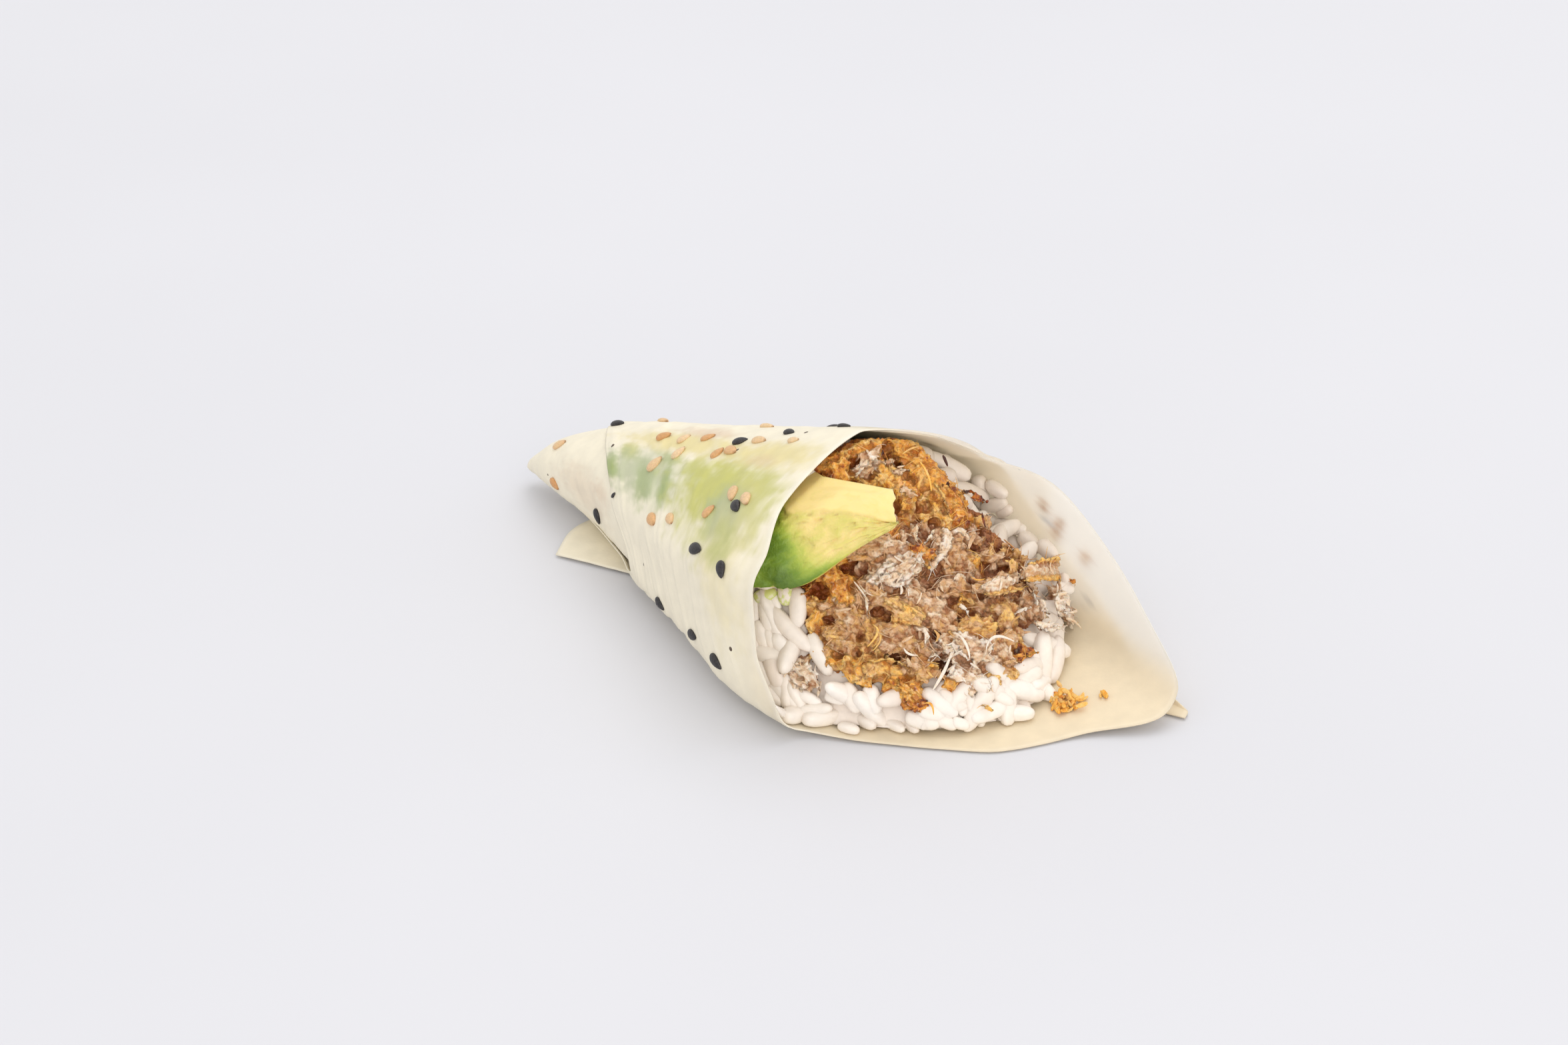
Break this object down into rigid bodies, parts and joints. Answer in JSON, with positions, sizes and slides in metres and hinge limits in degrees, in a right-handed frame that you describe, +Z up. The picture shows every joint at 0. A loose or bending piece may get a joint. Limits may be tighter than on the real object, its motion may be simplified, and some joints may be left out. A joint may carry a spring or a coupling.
{
  "type": "temaki hand roll",
  "caption": "Hand-rolled sushi cone of sesame soy sheet, lying on its side, filled with rice, flaked browned fish and an avocado slice.",
  "frame": {"origin": "middle of the underside of the roll's bounding box, on the surface it lies on", "axes": "+X from the cone's point to its mouth, +Z up, +Y towards the tall back wall of the open mouth"},
  "size_m": [0.1276, 0.0556, 0.0372],
  "materials": {
    "soy_sheet": "matt, slightly translucent",
    "black_sesame": "satin",
    "tan_sesame": "satin",
    "cooked_rice": "moist",
    "flaked_fish": "moist flakes with browned crusts",
    "avocado": "smooth and slightly oily"
  },
  "bodies": {
    "root": {"wrap": "soy_sheet", "rice": "cooked_rice", "flaked_fish": "flaked_fish", "avocado": "avocado"}
  },
  "joints": []
}
